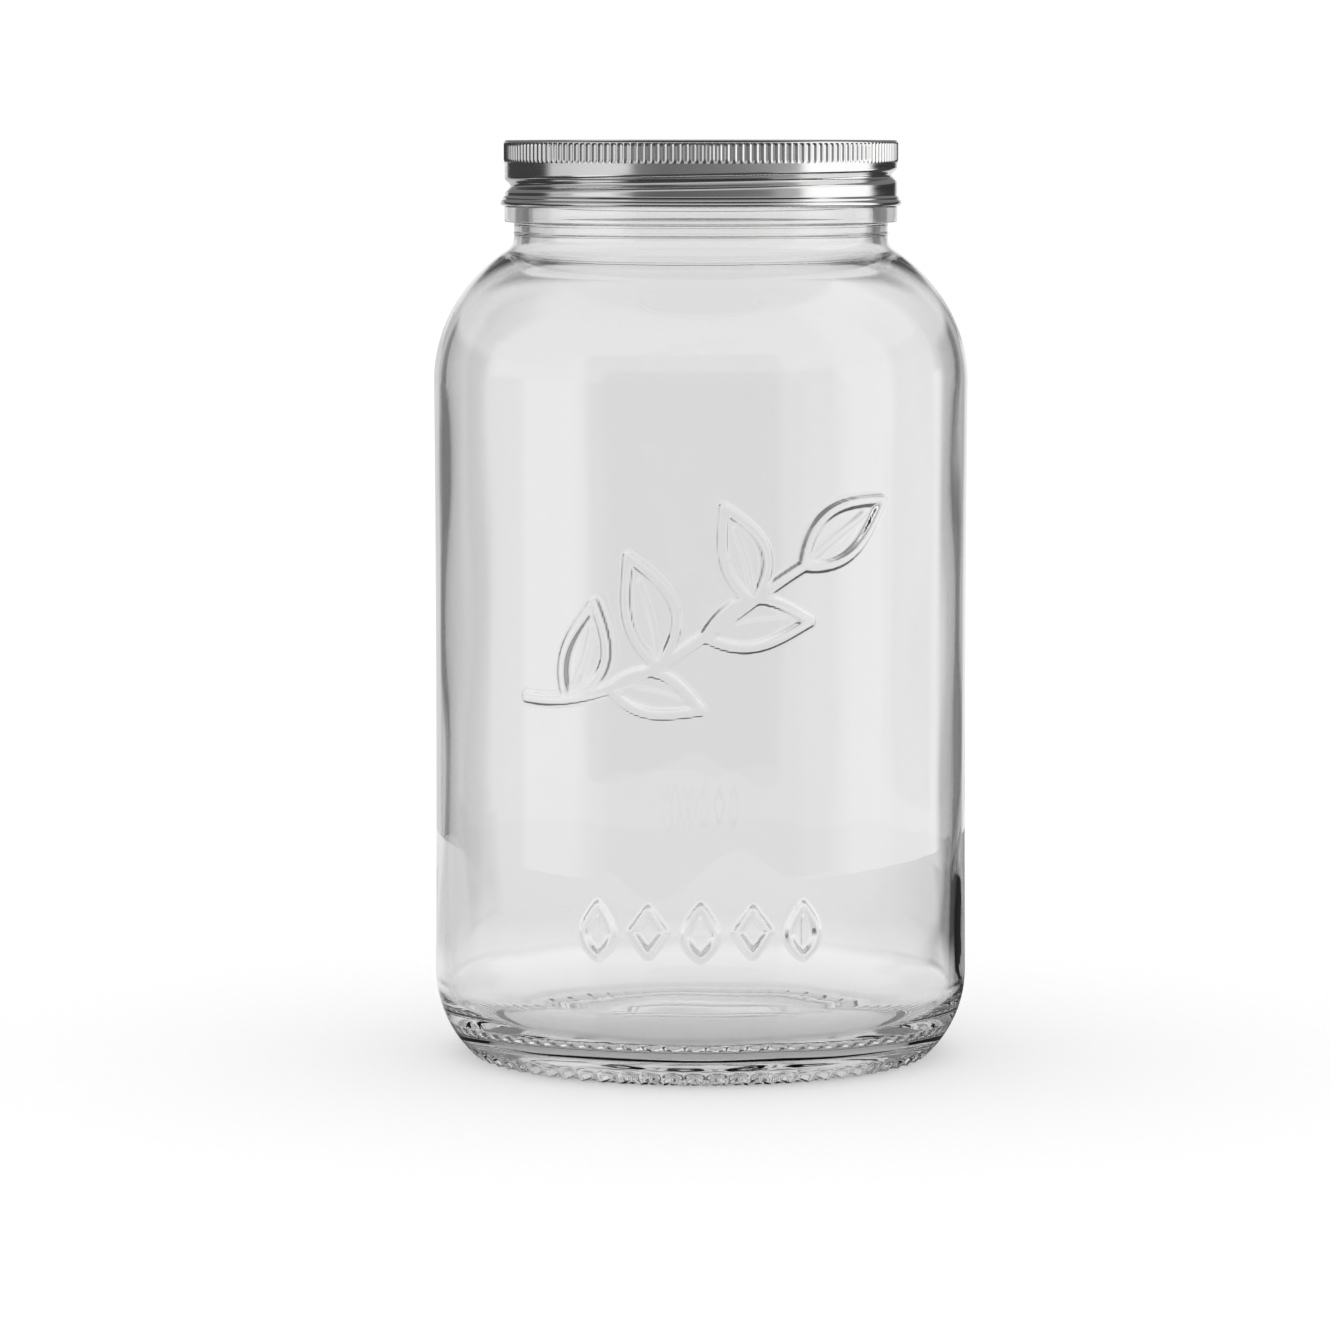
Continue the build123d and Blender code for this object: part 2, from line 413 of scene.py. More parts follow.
def stroke_relief(u, v, strokes):
    """Height of the relief where strokes of (points, half width, height) are drawn in metres."""
    relief = np.zeros(u.shape)
    for points, half, height in strokes:
        low = points.min(0) - half
        high = points.max(0) + half
        near = (u > low[0]) & (u < high[0]) & (v > low[1]) & (v < high[1])
        if not near.any():
            continue
        spots = np.column_stack((u[near], v[near]))
        gap = np.full(len(spots), np.inf)
        for a, b in zip(points, points[1:]):
            along = b - a
            t = np.clip(((spots - a) @ along) / (along @ along + 1e-18), 0, 1)
            gap = np.minimum(gap, np.linalg.norm(spots - a - t[:, None] * along, axis=1))
        rise = np.clip((half - gap) / (STROKE_FLANK * half), 0, 1)
        relief[near] = np.maximum(relief[near], height * rise)
    return relief


def leaf(base, heading, length, width, bend, edge_stroke, rib_stroke):
    """The strokes of a pointed leaf: its outline and its midrib."""
    turn = math.radians(heading)
    along = np.array([math.cos(turn), math.sin(turn)])
    across = np.array([-along[1], along[0]])
    s = np.linspace(0, 1, LEAF_POINTS)
    spine = base + length * (s[:, None] * along + bend * (s * (1 - s))[:, None] * across)
    swell = width / 2 * np.sin(math.pi * s**LEAF_FULLNESS)
    edge = np.concatenate((spine + swell[:, None] * across, (spine - swell[:, None] * across)[::-1]))
    return [(edge, *edge_stroke), (spine[:LEAF_RIB_POINTS], *rib_stroke)]


def curve_point(t, a, b, c, d):
    """A point on a cubic Bezier curve."""
    return a * (1 - t) ** 3 + 3 * b * t * (1 - t) ** 2 + 3 * c * t**2 * (1 - t) + d * t**3


def sprig():
    """A stem that climbs to the right with leaves on both sides and one at its tip."""
    ends = [np.array(p) * MM for p in STEM_ENDS]
    stem = np.array([curve_point(t, *ends) for t in np.linspace(0, 1, 40)])
    strokes = [(stem, *STEM_STROKE)]
    for share, lean, length in SIDE_LEAVES:
        base = curve_point(share, *ends)
        step = curve_point(share + 0.02, *ends) - base
        heading = math.degrees(math.atan2(step[1], step[0])) + lean
        bend = -SIDE_LEAF_BEND * math.copysign(1, lean)
        width = SIDE_LEAF_WIDTH * length * MM
        strokes.extend(leaf(base, heading, length * MM, width, bend, EDGE_STROKE, RIB_STROKE))
    strokes.extend(leaf(stem[-1], TIP_HEADING, TIP_LENGTH, TIP_WIDTH, TIP_BEND, EDGE_STROKE, RIB_STROKE))
    return strokes


def motif_row():
    """Five small generic motifs: upright leaves with lozenges between them."""
    strokes = []
    middle = (ROW_LOW_Z + ROW_HIGH_Z) / 2
    wide = LOZENGE_HALF_WIDTH
    tall = LOZENGE_HALF_HEIGHT
    lozenge = np.array([(0, -tall), (wide, 0), (0, tall), (-wide, 0), (0, -tall)])
    for place in range(-2, 3):
        u = place * MOTIF_PITCH
        if place % 2:
            strokes.append((lozenge + np.array([u, middle]), *MOTIF_EDGE_STROKE))
            continue
        base = np.array([u, middle - MOTIF_LEAF_LENGTH / 2])
        size = (MOTIF_LEAF_LENGTH, MOTIF_LEAF_WIDTH)
        strokes.extend(leaf(base, 90, *size, 0, MOTIF_EDGE_STROKE, MOTIF_RIB_STROKE))
    return strokes


def front_relief(strokes):
    """A shift for a body zone that raises the strokes on the front."""

    def shift(angle, radius, height):
        u, v = np.broadcast_arrays(np.radians(angle - FRONT) * BODY_R, height)
        return stroke_relief(u, v, strokes)

    return shift


def scallops(angle, radius, height):
    """Hollows between the knurls of the bearing ring's outer edge."""
    hollow = 0.5 - 0.5 * np.cos(np.radians(angle) * SCALLOPS)
    outer = smooth((radius - SCALLOP_R) / SCALLOP_R_FADE)
    lower = smooth((SCALLOP_TOP_Z - height) / SCALLOP_TOP_FADE)
    return -SCALLOP_DEPTH * hollow**SCALLOP_SHARPNESS * (outer * lower)


def glass_thread(angle, radius, height):
    """The thread that stands out of the finish."""
    zero = GROOVE_ZERO_Z + THREAD_ABOVE_GROOVE
    return THREAD_HEIGHT * helix_ridge(angle, height, zero, THREAD_START, THREAD_END, THREAD_HALF)


def inner_wave(angle, radius, height):
    """The gentle unevenness of a blown inner wall, which fades out at the mouth and the floor."""
    turn = np.radians(angle)
    tall = height / RIM_Z
    wave = sum(share * np.sin(lobes * turn + rise * tall + phase) for share, lobes, rise, phase in WAVES)
    off_floor = smooth((radius - WAVE_FLOOR_R) / WAVE_FLOOR_FADE)
    off_mouth = smooth((WAVE_TOP_Z - height) / WAVE_TOP_FADE)
    return WAVE * wave * (off_floor * off_mouth)


def body_side(low, high, step):
    """Points up the body's side, which draws in a little at mid-height."""
    z = np.linspace(low, high, max(2, round((high - low) / step)))
    bulge = (z - HEEL_Z) * (SHOULDER_Z - z) / ((SHOULDER_Z - HEEL_Z) / 2) ** 2
    return np.column_stack((BODY_R - WAIST * bulge, z))


def add_underside(skin):
    """The hollow under the jar, the scalloped bearing ring and the heel."""
    heel_start_r = BODY_R - HEEL_R + math.sqrt(HEEL_R**2 - HEEL_Z**2)
    heel_angle = math.degrees(math.asin(-HEEL_Z / HEEL_R))
    skin.pole(HOLLOW_Z)
    under = rounded(
        [(FIRST_RING_R, HOLLOW_Z), (HOLLOW_R, HOLLOW_EDGE_Z), (BEARING_R, 0), (heel_start_r, 0)],
        [HOLLOW_FILLET, BEARING_FILLET],
    )
    skin.add(even(UNDERSIDE_POINTS), refine(under[:6], HOLLOW_STEP))
    foot = np.concatenate((under[6:-1], straight(under[-1] - [SCALLOP_BAND, 0], under[-1], 6)))
    heel = arc((BODY_R - HEEL_R, HEEL_Z), HEEL_R, heel_angle, 0, 60)
    skin.add(even(POINTS_PER_WAVE * SCALLOPS), np.concatenate((foot, heel[1:13])), scallops)
    skin.add(even(WALL_POINTS), heel[14::4])


def add_body(skin):
    """The body's side with its two bands of relief, all on one set of angles."""
    turns = dense_front(FRONT_HALF, FRONT_STEP, BACK_POINTS)
    skin.add(turns, body_side(*LOW_PLAIN))
    skin.add(turns, body_side(ROW_LOW_Z, ROW_HIGH_Z, RELIEF_STEP), front_relief(motif_row()))
    skin.add(turns, body_side(*MIDDLE_PLAIN))
    skin.add(turns, body_side(SPRIG_LOW_Z, SPRIG_HIGH_Z, RELIEF_STEP), front_relief(sprig()))
    skin.add(turns, body_side(*HIGH_PLAIN))


def add_neck(skin):
    """The shoulder, the mould seam, the bead below the band and the threaded finish."""
    shoulder = shoulder_arcs(
        (BODY_R, SHOULDER_Z), SHOULDER_LOW_R, SHOULDER_LOW_TURN, SHOULDER_HIGH_R, NECK_R, NECK_FILLET, 16
    )
    skin.add(even(WALL_POINTS), shoulder)
    seam_z = np.linspace(SEAM_Z - SEAM_REACH, SEAM_Z + SEAM_REACH, 9)
    seam = np.column_stack((NECK_R + SEAM_HEIGHT * smooth(1 - np.abs(seam_z - SEAM_Z) / SEAM_HALF), seam_z))
    bead = rounded(
        [
            (NECK_R, SEAM_Z + SEAM_REACH + 0.1 * MM), (NECK_R, BEAD_LOW_Z),
            (BEAD_R, BEAD_LOW_Z + BEAD_SLOPE), (BEAD_R, BEAD_HIGH_Z),
            (NECK_R, BEAD_HIGH_Z + 0.2 * MM), (NECK_R, FINISH_Z - 0.2 * MM),
        ],
        BEAD_FILLETS,
    )
    skin.add(even(NECK_POINTS), np.concatenate((seam, refine(bead, BEAD_STEP))))
    finish = straight((NECK_R, FINISH_Z), (NECK_R, RIM_Z - RIM_EDGE), 32)
    skin.add(even(NECK_POINTS), finish, glass_thread)


def add_inside(skin):
    """The rim, the mouth, the inner shoulder and wall, and the floor."""
    rim = rounded(
        [
            (NECK_R, RIM_Z - RIM_EDGE + 0.1 * MM), (NECK_R, RIM_Z), (MOUTH_R, RIM_Z),
            (MOUTH_R, RIM_Z - MOUTH_DEPTH),
        ],
        [RIM_EDGE - 0.2 * MM, RIM_EDGE],
        7,
    )
    inner_r = BODY_R - WALL
    shoulder = shoulder_arcs(
        (inner_r, SHOULDER_Z), INNER_LOW_R, INNER_LOW_TURN, INNER_HIGH_R, MOUTH_R, INNER_FILLET, 13
    )[::-1]
    mouth = straight(rim[-1], shoulder[0], 6)
    skin.add(even(WALL_POINTS), np.concatenate((rim, mouth[1:], shoulder[1:])), inner_wave)
    wall = body_side(INNER_HEEL_Z + INNER_MARGIN_LOW, SHOULDER_Z - INNER_MARGIN_HIGH, INNER_STEP)[::-1]
    wall = wall - [WALL, 0]
    heel = arc((inner_r - INNER_HEEL_R, INNER_HEEL_Z), INNER_HEEL_R, 0, -90, 16)
    edge_r, edge_z = heel[-1]
    floor_r = np.linspace(edge_r, FLOOR_RING_R, 9)[1:]
    floor = np.column_stack((floor_r, edge_z + FLOOR_CROWN * (1 - (floor_r / edge_r) ** 2)))
    skin.add(even(WALL_POINTS), np.concatenate((wall, heel, floor)), inner_wave)
    skin.pole(edge_z + FLOOR_CROWN)


def make_glass(material):
    """The jar as one closed skin, from the middle of the underside up, over the rim and down inside."""
    skin = Skin()
    add_underside(skin)
    add_body(skin)
    add_neck(skin)
    add_inside(skin)
    return skin.build("jar_glass", material)


def band_groove(angle, radius, height):
    """The thread rolled into the skirt."""
    near = helix_ridge(angle, height, GROOVE_ZERO_Z, GROOVE_START, GROOVE_END, GROOVE_HALF)
    return -GROOVE_DEPTH * near


def band_groove_inside(angle, radius, height):
    """The same roll on the inner face, whose normal points the other way."""
    return -band_groove(angle, radius, height)


def knurling(angle, radius, height):
    """Upright ribs with rounded ends, which stand out of the skirt with hollows between them."""
    rib = 0.5 + 0.5 * np.cos(np.radians(angle) * KNURLS)
    rise = smooth((height - KNURL_LOW_Z) / KNURL_RISE)
    ends = rise * smooth((KNURL_HIGH_Z - height) / KNURL_FALL)
    return SKIRT_INSET * (rise - 1) - KNURL_DEPTH * (1 - rib) * ends


def add_skirt(skin):
    """The curl at the bottom and the skirt with its rolled thread, up to the knurls."""
    skin.add(even(METAL_POINTS), arc((CURL_R, CURL_Z), CURL_RADIUS, 180, 432, 22))
    skirt_r = BAND_R - SKIRT_INSET
    skirt = rounded(
        [
            (FLARE_R, FLARE_Z - FLARE_LIP), (FLARE_R, FLARE_Z), (skirt_r - SKIRT_TAPER, SKIRT_LOW_Z),
            (skirt_r, SKIRT_TAPER_Z), (skirt_r, KNURL_LOW_Z - 0.2 * MM),
        ],
        SKIRT_FILLETS,
        4,
    )
    skin.add(even(SKIRT_POINTS), refine(skirt, SKIRT_STEP), band_groove)


def add_band_top(skin):
    """The knurled edge, the corner and the flange, and the inner face of the corner."""
    corner_z = BAND_TOP_Z - BAND_CORNER
    wall = straight((BAND_R, KNURL_LOW_Z), (BAND_R, corner_z), 14)
    corner = arc((BAND_R - BAND_CORNER, corner_z), BAND_CORNER, 0, 90, 11)
    skin.add(even(POINTS_PER_WAVE * KNURLS), np.concatenate((wall, corner[1:4])), knurling)
    inner_corner_r = BAND_CORNER - SHEET
    inner_turn_r = BAND_R - SHEET - inner_corner_r
    lip_r = FLANGE_R - SHEET / 2
    flange = rounded(
        [
            corner[-1], (lip_r, BAND_TOP_Z), (lip_r, BAND_TOP_Z - SHEET),
            (inner_turn_r, BAND_TOP_Z - SHEET),
        ],
        [SHEET * 0.45, SHEET * 0.45],
        4,
    )
    inner_corner = arc((inner_turn_r, corner_z), inner_corner_r, 90, 0, 6)
    top = np.concatenate((corner[4:-1], refine(flange, FLANGE_STEP), inner_corner[1:]))
    skin.add(even(SKIRT_POINTS), top)


def add_band_inside(skin):
    """The skirt's inner face, down to the curl."""
    inner_r = BAND_R - SHEET
    top_z = BAND_TOP_Z - BAND_CORNER - 0.4 * MM
    skin.add(even(METAL_POINTS), straight((inner_r, top_z), (inner_r, SKIRT_LOW_Z), 44), band_groove_inside)
    skin.add(even(METAL_POINTS), [(FLARE_R - SHEET, FLARE_Z), (FLARE_R - SHEET, CURL_Z + 0.9 * MM)])


def make_band(material):
    """The screw band as one closed sheet: round the curl, up outside, over the flange and down inside."""
    skin = Skin()
    add_skirt(skin)
    add_band_top(skin)
    add_band_inside(skin)
    skin.close()
    return skin.build("band_tin", material)


def make_lid(material):
    """The lid disc: a turned-down edge, a flat rim, a raised panel and a shallow button ring."""
    edge_z = LID_BOX[0].z
    low_z = SEAL_BOX[1].z
    top_z = low_z + SHEET
    lid_r = LID_BOX[1].x
    slope_out_r = PANEL_R + PANEL_SLOPE / 2
    slope_in_r = PANEL_R - PANEL_SLOPE / 2
    panel_z = top_z + PANEL_RISE
    top = rounded(
        [
            (lid_r - SHEET, edge_z), (lid_r, edge_z), (lid_r, top_z), (slope_out_r, top_z),
            (slope_in_r, panel_z), (BUTTON_R + BUTTON_HALF, panel_z), (BUTTON_R, panel_z - BUTTON_DEPTH),
            (BUTTON_R - BUTTON_HALF, panel_z), (LID_RING_R, panel_z),
        ],
        [SHEET * 0.4, SHEET * 0.9, PANEL_FILLET, PANEL_FILLET, *BUTTON_FILLETS],
    )
    under = rounded(
        [
            (LID_RING_R, low_z + PANEL_RISE), (slope_in_r, low_z + PANEL_RISE), (slope_out_r, low_z),
            (lid_r - SHEET, low_z), (lid_r - SHEET, edge_z),
        ],
        [PANEL_FILLET, PANEL_FILLET, SHEET * 0.4],
    )
    upper = Skin()
    upper.add(even(METAL_POINTS), refine(top, LID_STEP))
    upper.pole(panel_z)
    size = upper.size
    lower = Skin()
    lower.pole(low_z + PANEL_RISE)
    lower.add(even(METAL_POINTS), refine(under, LID_STEP))
    upper.points.extend(lower.points)
    upper.faces.extend(tuple(i + size for i in face) for face in lower.faces)
    upper.join((lower.last[0], lower.last[1] + size), upper.first)
    return upper.build("lid_tin", material)


def make_seal(material):
    """The sealing ring: a flowed-in bead with rounded edges."""
    low_z = SEAL_BOX[0].z + SEAL_GAP_LOW
    high_z = SEAL_BOX[1].z - SEAL_GAP_HIGH
    outer_r = SEAL_BOX[1].x - SEAL_GAP_SIDE
    start_r = SEAL_INNER_R + 1.5 * MM
    ring = rounded(
        [
            (start_r, low_z), (outer_r, low_z), (outer_r, high_z), (SEAL_INNER_R, high_z),
            (SEAL_INNER_R, low_z), (start_r - 0.1 * MM, low_z),
        ],
        [SEAL_LOW_FILLET, SEAL_HIGH_FILLET, SEAL_HIGH_FILLET, SEAL_LOW_FILLET],
    )
    skin = Skin()
    skin.add(even(METAL_POINTS), ring)
    skin.close()
    return skin.build("seal_compound", material)


def grey(value):
    """An opaque grey."""
    return (value, value, value, 1)


def node(tree, kind, x, y, **values):
    """A shader node with its inputs set by name."""
    made = tree.nodes.new(kind)
    made.location = (x, y)
    for name, value in values.items():
        made.inputs[name.replace("_", " ")].default_value = value
    return made


def new_material(name):
    """A material, its node tree and its Principled shader."""
    material = bpy.data.materials.new(name)
    material.use_nodes = True
    return material, material.node_tree, material.node_tree.nodes["Principled BSDF"]


def stretched_noise(tree, scale, noise_scale, detail):
    """Noise in object space, stretched by a scale for each axis."""
    place = node(tree, "ShaderNodeTexCoord", -1100, 0)
    stretch = node(tree, "ShaderNodeMapping", -900, 0, Scale=scale)
    noise = node(tree, "ShaderNodeTexNoise", -700, 0, Scale=noise_scale, Detail=detail)
    tree.links.new(place.outputs["Object"], stretch.inputs["Vector"])
    tree.links.new(stretch.outputs["Vector"], noise.inputs["Vector"])
    return noise.outputs["Fac"]


def spread(tree, source, low, high):
    """The source's middle range mapped to low..high."""
    span = node(tree, "ShaderNodeMapRange", -450, 0)
    span.inputs["From Min"].default_value = NOISE_LOW
    span.inputs["From Max"].default_value = NOISE_HIGH
    span.inputs["To Min"].default_value = low
    span.inputs["To Max"].default_value = high
    tree.links.new(source, span.inputs["Value"])
    return span.outputs["Result"]


def bump(tree, source, shader, strength, distance):
    """Small relief on the shader from a noise."""
    relief = node(tree, "ShaderNodeBump", -300, -300, Strength=strength, Distance=distance)
    tree.links.new(source, relief.inputs["Height"])
    tree.links.new(relief.outputs["Normal"], shader.inputs["Normal"])


def glass_material():
    """Clear soda-lime glass with a faint chill-mark ripple."""
    material, tree, shader = new_material("clear_glass")
    shader.inputs["Base Color"].default_value = (1, 1, 1, 1)
    shader.inputs["Roughness"].default_value = 0.0
    shader.inputs["IOR"].default_value = GLASS_IOR
    shader.inputs["Transmission Weight"].default_value = 1.0
    ripple = stretched_noise(tree, scale=(1, 1, 0.35), noise_scale=60, detail=2)
    bump(tree, ripple, shader, strength=0.05, distance=0.4 * MM)
    absorb = node(tree, "ShaderNodeVolumeAbsorption", 0, -400, Density=GLASS_DENSITY)
    absorb.inputs["Color"].default_value = grey(GLASS_TINT)
    tree.links.new(absorb.outputs["Volume"], tree.nodes["Material Output"].inputs["Volume"])
    return material


def tin_material(name, tone, rough_low, rough_high, anisotropy):
    """Tinplate with rolling lines round the piece and uneven gloss."""
    material, tree, shader = new_material(name)
    shader.inputs["Metallic"].default_value = 1.0
    lines = stretched_noise(tree, scale=(4, 4, 420), noise_scale=6, detail=4)
    tree.links.new(spread(tree, lines, rough_low, rough_high), shader.inputs["Roughness"])
    blotch = stretched_noise(tree, scale=(1, 1, 1), noise_scale=45, detail=5)
    ramp = node(tree, "ShaderNodeValToRGB", -300, 300)
    ramp.color_ramp.elements[0].position = NOISE_LOW
    ramp.color_ramp.elements[0].color = grey(tone * TIN_SHADE)
    ramp.color_ramp.elements[1].position = NOISE_HIGH
    ramp.color_ramp.elements[1].color = (tone, tone, tone * TIN_WARMTH, 1)
    tree.links.new(blotch, ramp.inputs["Fac"])
    tree.links.new(ramp.outputs["Color"], shader.inputs["Base Color"])
    shader.inputs["Anisotropic"].default_value = anisotropy
    bump(tree, lines, shader, strength=0.08, distance=0.05 * MM)
    return material


def seal_material():
    """Matt plastisol compound."""
    material, tree, shader = new_material("plastisol")
    grain = stretched_noise(tree, scale=(1, 1, 1), noise_scale=900, detail=3)
    ramp = node(tree, "ShaderNodeValToRGB", -300, 300)
    ramp.color_ramp.elements[0].color = (0.11, 0.11, 0.115, 1)
    ramp.color_ramp.elements[1].color = (0.19, 0.19, 0.195, 1)
    tree.links.new(grain, ramp.inputs["Fac"])
    tree.links.new(ramp.outputs["Color"], shader.inputs["Base Color"])
    tree.links.new(spread(tree, grain, 0.5, 0.7), shader.inputs["Roughness"])
    bump(tree, grain, shader, strength=0.15, distance=0.1 * MM)
    return material


# The studio: a ring of light and dark cards round the jar, on a white floor, with white all round.
RING_R = 0.55
RING_TOP = 1.1
CARD_TOP = 0.285
CARD_SOFT = 0.05
HIGH_FROM = 0.215
CEILING_FROM = 0.90
CEILING = 0.05
BACKDROP = 1.0
# Each stop is (degrees round from the front towards +X, brightness).
# The cards' upper part, which the closure mirrors:
HIGH_STOPS = (
    (-180, 0.86), (-155, 0.86), (-150, 0.06), (-99.5, 0.06), (-96, 0.40), (-93, 0.80), (-41.5, 0.90),
    (-36.5, 0.26), (-22, 0.19), (0, 0.225), (22, 0.28), (52, 0.46), (56, 0.52), (60, 1.38),
    (111, 1.38), (117, 0.04), (155, 0.04), (160, 0.86), (180, 0.86),
)
# Their lower part, which the body mirrors:
LOW_STOPS = (
    (-180, 0.86), (-150, 0.50), (-146, 0.05), (-92, 0.05), (-88, 0.10), (-79, 0.14), (-74.5, 1.18),
    (-53, 1.18), (-43, 0.09), (38, 0.09), (44, 0.52), (58, 0.66), (64, 1.40), (116, 1.50),
    (121, 0.05), (150, 0.05), (156, 0.86), (180, 0.86),
)
# The cards as they show through the glass:
THROUGH_STOPS = (
    (-180, 0.785), (-171, 0.785), (-165, 0.77), (-160, 0.76), (-150, 0.69), (-146, 0.22),
    (-108, 0.20), (-101, 0.92), (-43, 0.92), (-38, 0.30), (56, 0.30), (61, 1.04), (122, 1.04),
    (128, 0.22), (147, 0.22), (151, 0.63), (160, 0.71), (163.5, 0.74), (167, 0.785), (180, 0.785),
)
# The far floor as it shows through the glass, as painted glow: light and dark tones round the jar that
# stand in for the cards' light and shade:
FLOOR_THROUGH_GLOW_STOPS = (
    (-180, 0.765), (-168, 0.76), (-160, 0.74), (-150, 0.69), (-146, 0.52), (-108, 0.52),
    (-101, 0.86), (61, 0.90), (118, 0.94), (122, 0.10), (154, 0.10), (158, 0.62), (164, 0.72),
    (169, 0.765), (180, 0.765),
)
# The floor in mirrors, as painted glow: painted shade all round save towards the back, where it is light:
FLOOR_MIRROR_SHADE_STOPS = (
    (-180, 0.86), (-135, 0.80), (-110, 0.06), (160, 0.06), (170, 0.50), (180, 0.86),
)
# Above the cards' top edge, in mirrors:
ABOVE_STOPS = (
    (-180, 0.20), (-112, 0.20), (-95, 0.50), (-45, 0.65), (-35, 0.60), (52, 0.65), (62, 1.25),
    (110, 1.25), (118, 0.20), (180, 0.20),
)
# The same, as it shows through the glass:
ABOVE_THROUGH_STOPS = (
    (-180, 0.02), (-165, 0.04), (-157, 0.80), (-110, 0.82), (-60, 0.95), (60, 0.95), (110, 1.00),
    (157, 0.86), (165, 0.04), (180, 0.02),
)
# Between these distances out from the jar, rays through glass go over from the white floor to its painted
# glow in card tones
FLOOR_FROM = 0.16
FLOOR_TO = 0.30
FLOOR_REACH = 40.0
FLOOR_WHITE = 0.75
FLOOR_GLOW = 0.10
FLOOR_GLOW_THROUGH = 0.22
FLOOR_GLOW_SEEN = 0.29


def ramp_of(tree, source, stops, x, y):
    """A colour ramp of greys from (degrees -180..180, value) stops."""
    stops = [((angle + 180) / 360, value) for angle, value in stops]
    ramp = node(tree, "ShaderNodeValToRGB", x, y)
    elements = ramp.color_ramp.elements
    while len(elements) > 1:
        elements.remove(elements[-1])
    elements[0].position = stops[0][0]
    elements[0].color = grey(stops[0][1])
    for position, value in stops[1:]:
        made = elements.new(position)
        made.color = grey(value)
    tree.links.new(source, ramp.inputs["Fac"])
    return ramp.outputs["Color"]


def math_node(tree, operation, *values):
    """A maths node on sockets or numbers."""
    made = tree.nodes.new("ShaderNodeMath")
    made.operation = operation
    for socket, value in zip(made.inputs, values):
        if isinstance(value, (int, float)):
            socket.default_value = value
        else:
            tree.links.new(value, socket)
    return made.outputs[0]


def mix_colors(tree, factor, first, second):
    """Two colours, sockets or plain ones, mixed by a factor socket."""
    made = tree.nodes.new("ShaderNodeMix")
    made.data_type = "RGBA"
    tree.links.new(factor, made.inputs["Factor"])
    for socket, value in ((made.inputs["A"], first), (made.inputs["B"], second)):
        if isinstance(value, tuple):
            socket.default_value = value
        else:
            tree.links.new(value, socket)
    return made.outputs["Result"]


def mix_shaders(tree, factor, first, second):
    """Two shader sockets mixed by a factor socket."""
    made = tree.nodes.new("ShaderNodeMixShader")
    tree.links.new(factor, made.inputs["Fac"])
    tree.links.new(first, made.inputs[1])
    tree.links.new(second, made.inputs[2])
    return made.outputs["Shader"]


def mirror_ray(tree):
    """1 for rays that a surface mirrored, 0 for all others, those bent through glass among them."""
    path = node(tree, "ShaderNodeLightPath", -1000, -500)
    bent = math_node(tree, "SUBTRACT", 1.0, path.outputs["Is Transmission Ray"])
    return math_node(tree, "MULTIPLY", bent, path.outputs["Is Glossy Ray"])


def height_step(tree, height, low, high):
    """0 below low, 1 above high."""
    step = node(tree, "ShaderNodeMapRange", -500, -300)
    step.interpolation_type = "SMOOTHSTEP"
    step.inputs["From Min"].default_value = low
    step.inputs["From Max"].default_value = high
    tree.links.new(height, step.inputs["Value"])
    return step.outputs["Result"]


def bearing(tree):
    """The shaded point, its X, Y and Z, and its bearing round the jar: 0 to 1, 0.5 at the front."""
    place = node(tree, "ShaderNodeTexCoord", -1400, 0)
    parts = node(tree, "ShaderNodeSeparateXYZ", -1200, 0)
    tree.links.new(place.outputs["Object"], parts.inputs[0])
    back = math_node(tree, "MULTIPLY", parts.outputs["Y"], -1.0)
    turn = math_node(tree, "ARCTAN2", parts.outputs["X"], back)
    share = math_node(tree, "MULTIPLY_ADD", turn, 1 / (2 * math.pi), 0.5)
    return place.outputs["Object"], parts, share


def card_ring_material():
    """Emission that changes round the ring and with height, one way in mirrors, another through glass."""
    material = bpy.data.materials.new("studio_cards")
    material.use_nodes = True
    tree = material.node_tree
    tree.nodes.clear()
    _, parts, share = bearing(tree)
    height = parts.outputs["Z"]
    path = node(tree, "ShaderNodeLightPath", -800, -400)
    high = height_step(tree, height, HIGH_FROM, HIGH_FROM + CARD_SOFT / 2)
    low_cards = ramp_of(tree, share, LOW_STOPS, -800, 200)
    high_cards = ramp_of(tree, share, HIGH_STOPS, -800, 0)
    mirror = mix_colors(tree, high, low_cards, high_cards)
    through = ramp_of(tree, share, THROUGH_STOPS, -800, -200)
    sides = mix_colors(tree, path.outputs["Is Transmission Ray"], mirror, through)
    above_through = ramp_of(tree, share, ABOVE_THROUGH_STOPS, -800, -800)
    above_mirror = ramp_of(tree, share, ABOVE_STOPS, -800, -600)
    over = mix_colors(tree, mirror_ray(tree), above_through, above_mirror)
    above = height_step(tree, height, CARD_TOP, CARD_TOP + CARD_SOFT)
    color = mix_colors(tree, above, sides, over)
    dark = height_step(tree, height, CEILING_FROM, CEILING_FROM + 3 * CARD_SOFT)
    dark = math_node(tree, "MULTIPLY", dark, mirror_ray(tree))
    color = mix_colors(tree, dark, color, grey(CEILING))
    glow = node(tree, "ShaderNodeEmission", 0, 0)
    tree.links.new(color, glow.inputs["Color"])
    out = node(tree, "ShaderNodeOutputMaterial", 200, 0)
    tree.links.new(glow.outputs[0], out.inputs["Surface"])
    return material


def make_card_ring():
    """The ring of cards, which shows only in mirrors and through glass, and casts no shadow."""
    count = 360
    turn = np.radians(even(count))
    flat = np.column_stack((RING_R * np.cos(turn), RING_R * np.sin(turn)))
    low = np.column_stack((flat, np.zeros(count)))
    high = np.column_stack((flat, np.full(count, RING_TOP)))
    index = np.arange(count)
    ahead = np.roll(index, -1)
    faces = np.column_stack((index, index + count, ahead + count, ahead))
    mesh = bpy.data.meshes.new("studio_cards")
    mesh.from_pydata(np.concatenate((low, high)).tolist(), [], faces.tolist())
    mesh.materials.append(card_ring_material())
    ring = bpy.data.objects.new("studio_cards", mesh)
    bpy.context.scene.collection.objects.link(ring)
    ring.visible_camera = False
    ring.visible_shadow = False
    ring.visible_diffuse = False


